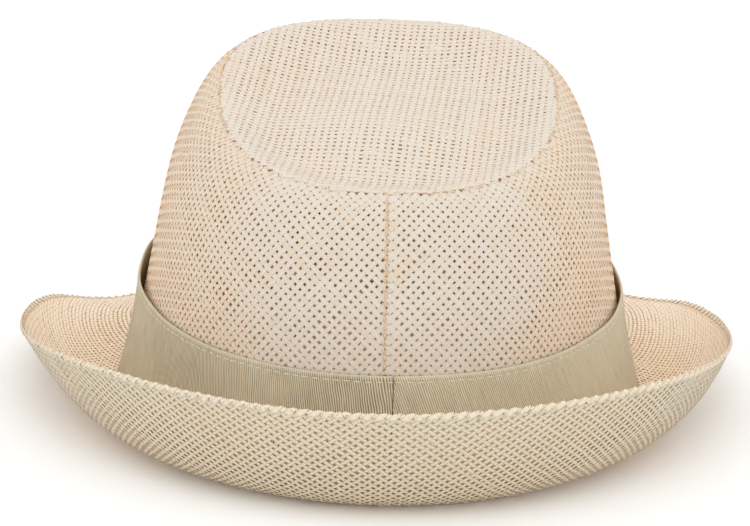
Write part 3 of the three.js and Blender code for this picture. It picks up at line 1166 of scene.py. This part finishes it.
@dataclass
class CrownTip(Part):
    """Straight-woven top of the crown, pressed into a dent."""

    straw: Straw = Straw(pitch=2.38, width=1.61, crimp=0.06)
    grain_turn: float = 6.0
    depth: float = 0.35
    tuck: float = 0.05
    dent_depth: float = 4.8
    dent_line_back: float = 0.76
    dent_line_front: float = 0.42
    cushion_rise: float = 3.8
    cushion_behind: float = 26.0
    cushion_length: float = 19.0
    cushion_width: float = 24.0
    shown: tuple[tuple[float, float], ...] = ((-27.0, 2.0), (-118.0, -62.0), (66.0, 116.0))
    thread: Stitching = Stitching(length=1.7, gap=1.2, radius=0.24, wander=0.2, seed=83)
    seam_points: int = 120

    def share(self, x: Array, y: Array) -> tuple[Array, Array]:
        """Place of a point on the tip between its centre and the ridge.

        Args:
            x: Distances to the right.
            y: Distances to the back.

        Returns:
            Shares of the way to the ridge, and the ridge's heights there.
        """
        edge = self.form.crown(np.linspace(0, TURN, 1441), 1.0)
        bearing = np.unwrap(np.arctan2(edge[:, 0], edge[:, 1]))
        reach = np.hypot(edge[:, 0], edge[:, 1]) - self.form.gap
        wanted = np.arctan2(-x, y) % TURN
        return np.hypot(x, y) / np.interp(wanted, bearing, reach), np.interp(wanted, bearing, edge[:, 2])

    def room(self, x: Array, y: Array) -> Array:
        """Distance inside the tip's edge, which is tucked in behind the top of the crown side."""
        share, _ = self.share(x, y)
        return np.hypot(x, y) / np.maximum(share, 1e-6) * (1 - share) - self.tuck

    def surface(self, x: Array, y: Array) -> Array:
        """Middle of the woven tip: a floor below a wall all round, with a cushion that swells up from it.

        Args:
            x: Distances to the right.
            y: Distances to the back.

        Returns:
            Points of the lying hat.
        """
        share, edge = self.share(x, y)
        behind = (1 + y / np.maximum(np.hypot(x, y), 1e-6)) / 2
        line = self.dent_line_front + (self.dent_line_back - self.dent_line_front) * behind
        fall = np.clip((1 - share) / (1 - line), 0, 1)
        cushion = bell(x / self.cushion_width) * bell((y - self.cushion_behind) / self.cushion_length)
        rise = self.cushion_rise * cushion * (1 - np.minimum(share, 1) ** 4)
        dent = self.dent_depth * 0.5 * (1 - np.cos(math.pi * fall)) - rise
        plane = self.form.ridge_height + (edge - self.form.ridge_height) * share
        return self.form.laid(np.stack([-x, y, plane - dent - self.depth], -1))

    def painted_light_and_shade(self, x: Array, y: Array) -> Array:
        """Painted warm shade on the straw: most in the hollow of the dent."""
        return 0.22 * bell((self.share(x, y)[0] - 0.7) / 0.16)

    def seam(self, first: float, last: float) -> Strands:
        """Sew a stretch of the ridge.

        Args:
            first: Turn in degrees where the threads come out of the fold.
            last: Turn where they go back into it.

        Returns:
            The threads.
        """
        edge = self.form.crown(np.radians(np.linspace(first, last, self.seam_points)), 1.0)
        edge = edge * np.array([0.995, 0.995, 1]) - np.array([0, 0, self.depth - 0.25])
        up = np.broadcast_to(np.array([0.0, 0.0, 1.0]), edge.shape)
        return self.thread.along(self.form.laid(edge), self.form.tipped(up))

    def build(self) -> None:
        """Weave both grains into one piece and sew the stretches of the ridge."""
        cloth = (self.surface, self.room, self.painted_light_and_shade, self.straw)
        weave = FlatWeave(*cloth, low=(-70, -80), high=(70, 95), turn=90 + self.grain_turn, seed=23)
        self.add(shelved([strand for grain in Grain for strand in weave.strands(grain)]), "crown_tip_weave")
        self.add(shelved([self.seam(*stretch) for stretch in self.shown]), "crown_ridge_seam")

    def dress(self) -> None:
        """Give the strands their straw and the seam its thread."""
        self.finish("crown_tip", "straw_tip", STRAW_TIP_LIT.material(), SEAM_THREAD.material())


@dataclass
class Brim(Part):
    """Brim of a bias weave drawn into a ring, whose edge is turned over as a narrow hem."""

    straw: Straw = Straw(pitch=2.04, width=1.14, thick=0.34, crimp=0.05)
    hem_straw: Straw = Straw(pitch=2.3, width=1.6, thick=0.3, crimp=0.045)
    diamonds: int = 226
    start: float = 0.01
    body: float = 0.968
    hem_from: float = 0.958
    hem: float = 0.9
    hem_width: float = 48.0
    hem_diamonds: int = 200
    fold: float = 0.17
    depth: float = 0.5
    seam_turn: float = -2.0
    seam_lean: float = -29.0
    seam_span: tuple[float, float] = (0.06, 0.975)
    thread: Stitching = Stitching(length=2.4, gap=0.7, radius=0.24, wander=0.16, seed=97)
    seam_points: int = 160

    def surface(self, azimuth: Array, way: Array) -> Array:
        """Middle of the brim, then round its edge and back over the hem.

        Args:
            azimuth: Turns round the head.
            way: Shares of the brim's width, over one past the edge.

        Returns:
            Points of the lying hat.
        """
        azimuth, way = spread(azimuth, way)
        width = self.form.around_brim(azimuth)[..., 2]
        past = (way - 1) * width
        half = self.fold * math.pi / 2
        bend = np.clip(past / self.fold, -math.pi / 2, math.pi / 2)
        share = np.minimum(way, 1 - (self.fold + np.maximum(past - half, 0)) / width)
        on = np.where(np.abs(past) < half, self.fold * np.cos(bend), 0)
        lift = self.depth + np.where(past < -half, 0, self.fold * (1 + np.sin(bend)))
        return self.form.laid_brim(azimuth, share, lift, on)

    def painted_light_and_shade(self, azimuth: Array, way: Array) -> Array:
        """Painted warm shade on the straw: most near the crown at both sides, and painted light at the edge.

        Args:
            azimuth: Turns round the head.
            way: Shares of the brim's width.

        Returns:
            Amounts of painted shade up to one, and less than zero where light is painted on the hem.
        """
        side = smooth_step(np.abs(np.sin(azimuth)), 0.5, 0.95)
        # painted warm shade near the crown at both sides
        warm = 0.35 + side * 0.65 * (1 - smooth_step(way, 0.25, 0.7))
        # painted light on the hem, which lies in shade
        hem = smooth_step(way, 0.955, 0.985)
        return warm * (1 - hem) - (0.6 * hem + 0.4 * smooth_step(way, 0.99, 1.004))

    def seam(self) -> Strands:
        """Sew the slanting seam on the outside of the back.

        Returns:
            The threads.
        """
        way = np.linspace(*self.seam_span, self.seam_points)
        azimuth = np.radians(self.seam_turn + self.seam_lean * (1 - way)) % TURN
        line, further = (self.form.laid_brim(azimuth, way, self.depth - out) for out in (0.1, 1))
        return self.thread.along(line, unit(further - line))

    def build(self) -> None:
        """Weave both hands of the brim, then its hem, and sew the seam."""
        cloth = (self.surface, self.painted_light_and_shade)
        weave = RoundWeave(*cloth, self.straw, self.diamonds, self.start, self.body, seed=37)
        for hand in Hand:
            self.add(weave.strands(hand).mesh(), f"brim_{hand.name.lower()}")
        end = 1 + self.hem / self.hem_width
        edge = RoundWeave(*cloth, self.hem_straw, self.hem_diamonds, self.hem_from, end, seed=41)
        self.add(shelved([edge.strands(hand) for hand in Hand], 2), "brim_hem")
        self.add(self.seam().mesh(), "brim_back_seam")

    def dress(self) -> None:
        """Give the strands their straw and the seam its thread."""
        straw = STRAW_BRIM_SHADED.material()
        self.finish("brim", "straw", straw, straw, straw, SEAM_THREAD.material())


@dataclass
class HatBand(Part):
    """Cotton band with a turned and stitched top edge and a seam at the centre of the back."""

    cloth: float = 0.85
    top: float = 38.2
    foot_gap: float = 0.7
    turned: float = 2.0
    thread: Stitching = Stitching(length=2.9, gap=0.4, radius=0.2, wander=0.05, seed=5)
    seam_turn: float = -0.027
    seam_gap: float = 0.0018
    seam_dip: float = 0.5
    seam_spread: float = 0.006
    loop_reach: float = 32.0
    loop_rise: float = 20.0
    columns: int = 640
    stitch_points: int = 1441

    def point(self, azimuth: Array, height: Array, offset: Array) -> Array:
        """Point on the band.

        Args:
            azimuth: Turns round the head.
            height: Heights over the brim's underside.
            offset: Distances off the crown.

        Returns:
            Points of the lying hat.
        """
        azimuth, height, offset = spread(azimuth, height, offset)
        turn = np.degrees(azimuth) % 360
        off, up = np.zeros(azimuth.shape), np.zeros(azimuth.shape)
        for at, most, rise in BAND_LOOPS:
            off = off + most * np.clip(1.25 - np.abs(turn - at) / self.loop_reach, 0, 1)
            up = up + rise * bell((turn - at) / self.loop_rise)
        foot = self.form.foot
        share = (height - foot) / (self.top - foot)
        height = height + up * share
        level = (height - foot) / (self.form.ridge(azimuth) - foot)
        ripple = 0.16 * np.sin(azimuth * 9 + 0.7) + 0.12 * np.sin(azimuth * 17 + share * 2.5)
        reach = self.form.gap + offset + (off + np.maximum(ripple, -0.2)) * share * share
        place = self.form.oval(azimuth, level) + self.form.foot_normal(azimuth) * reach[..., None]
        return self.form.laid(raised(place, height))

    def profile(self) -> tuple[Array, Array, Array]:
        """Section of the band, up its inside and down its outside.

        Returns:
            Heights, distances off the crown and how far each point is on the folded crest.
        """
        near_top = np.array([3, 2.5, 2.2, 1.9, 1.4, 0.9])
        up = np.append(np.linspace(self.form.foot + self.foot_gap, self.top - 4, 12), self.top - near_top)
        below = self.top - up
        ridge = 0.12 * bell((below - 1.1) / 0.6) - 0.1 * bell((below - self.turned) / 0.25)
        turn, half = np.radians([155, 120, 90, 60, 25]), self.cloth / 2
        heights = np.concatenate([up, self.top - half + half * np.sin(turn), up[::-1]])
        offsets = np.concatenate([0 * up, half + half * np.cos(turn), (self.cloth + ridge)[::-1]])
        return heights, offsets, np.clip(1 - (self.top - heights) / 0.7, 0, 1) * (offsets >= half)

    def strip(self) -> MeshData:
        """Strip of cloth from one side of the seam round to the other.

        Returns:
            A closed strip with the values around, up and crest.
        """
        heights, offsets, crest = self.profile()
        near = self.seam_gap * np.array([1, 1.5, 2.5])
        turns = np.concatenate([near, np.linspace(0.02, TURN - 0.02, self.columns), TURN - near[::-1]])
        turns = self.seam_turn + turns
        dip = self.seam_dip * bell(np.minimum(turns - turns[0], turns[-1] - turns) / self.seam_spread)
        points = self.point(turns[:, None], heights, offsets - dip[:, None] * (offsets >= self.cloth / 2))
        around, girth = travelled(points[:, -1], 0), travelled(points[0], 0)
        girth = np.append(girth, girth[-1] + self.cloth)
        along, across = (MAP_MARGIN + (1 - 2 * MAP_MARGIN) * run / run[-1] for run in (around, girth))
        values = {"around": around[:, None], "up": heights, "crest": crest}
        return MeshData.tubes(points[None], along, across, WHOLE_MAP, values)

    def stitches(self) -> Strands:
        """Sew below the top edge.

        Returns:
            Running stitches.
        """
        turns = np.linspace(self.seam_turn, self.seam_turn + TURN, self.stitch_points)
        line, further = (self.point(turns, self.top - self.turned, self.cloth + off) for off in (-0.12, 0.9))
        return self.thread.along(line, unit(further - line))

    def build(self) -> None:
        """Make the cloth and its stitches."""
        self.add(self.strip(), "band_cloth")
        self.add(self.stitches().mesh(), "band_stitches")

    def dress(self) -> None:
        self.finish("hat_band", "band_cotton", BAND_COTTON.material(), BAND_THREAD.material())
        cloth, stitches = self.pieces


@dataclass
class Studio:
    """White surroundings, a large soft light overhead and a pale floor."""

    ambient: float = 1.0
    key_power: float = 9.0
    key_size: float = 2.2
    key_place: tuple[float, float, float] = (0.0, 0.75, 1.9)
    key_aim: tuple[float, float, float] = (0.0, 0.0, 0.05)
    bounces: int = 12
    floor_size: float = 14.0
    floor_height: float = -0.0004

    def build(self) -> None:
        """Make the world, the light and the floor."""
        scene = bpy.context.scene
        scene.view_settings.view_transform = "Standard"
        scene.cycles.diffuse_bounces = self.bounces
        scene.world = bpy.data.worlds.new("studio")
        scene.world.use_nodes = True
        background = scene.world.node_tree.nodes["Background"].inputs
        background["Color"].default_value = (1, 1, 1, 1)
        background["Strength"].default_value = self.ambient
        lamp = bpy.data.lights.new("overhead", "AREA")
        lamp.energy, lamp.size = self.key_power, self.key_size
        made = bpy.data.objects.new("overhead", lamp)
        made.location = self.key_place
        made.rotation_euler = (Vector(self.key_aim) - made.location).to_track_quat("-Z", "Y").to_euler()
        half = self.floor_size / 2
        corners = [(-half, -half), (half, -half), (half, half), (-half, half)]
        mesh = bpy.data.meshes.new("floor")
        mesh.from_pydata([(*corner, self.floor_height) for corner in corners], [], [(0, 1, 2, 3)])
        mesh.materials.append(FLOOR_PAPER.material())
        floor = bpy.data.objects.new("floor", mesh)
        for thing in (made, floor):
            scene.collection.objects.link(thing)


@dataclass
class Viewpoint:
    """Camera behind the hat and a little above it."""

    distance: float = 1081.0
    elevation: float = 18.45
    turn: float = 1.2
    roll: float = 1.65
    aim_height: float = 45.0
    lens: float = 152.3
    shift: tuple[float, float] = (-0.00907, -0.00867)

    def build(self, form: HatForm) -> None:
        """Place the camera.

        Args:
            form: The hat, whose tilt and place the camera shares.
        """
        rise = math.radians(self.elevation)
        back = np.append(heading(math.radians(self.turn)) * math.cos(rise), math.sin(rise))
        eye = Vector(form.laid(np.array([0, 0, self.aim_height]) + back * self.distance) * MM)
        z = Vector(form.tipped(back))
        x = Vector(form.tipped(np.array([0.0, 0.0, 1.0]))).cross(z).normalized()
        turn = Matrix((x, z.cross(x), z)).transposed().to_4x4()
        data = bpy.data.cameras.new("camera")
        data.lens, data.sensor_width = self.lens, 36.0
        data.shift_x, data.shift_y = self.shift
        data.clip_start, data.clip_end = 0.05, 50
        camera = bpy.data.objects.new("camera", data)
        roll = Matrix.Rotation(math.radians(self.roll), 4, "Z")
        camera.matrix_world = Matrix.Translation(eye) @ turn @ roll
        bpy.context.scene.collection.objects.link(camera)
        bpy.context.scene.camera = camera


def main() -> None:
    """Build and dress every piece, light the scene and note the sizes."""
    logging.basicConfig(level=logging.INFO, format="%(name)s: %(message)s")
    form = HatForm()
    LOG.info("tilt %.2f degrees, centre %s mm", math.degrees(form.tilt), np.round(form.centre, 3))
    for part in (CrownSide(form), CrownTip(form), Brim(form), HatBand(form)):
        part.build()
        part.dress()
    Studio().build()
    Viewpoint().build(form)


if __name__ == "__main__":
    main()
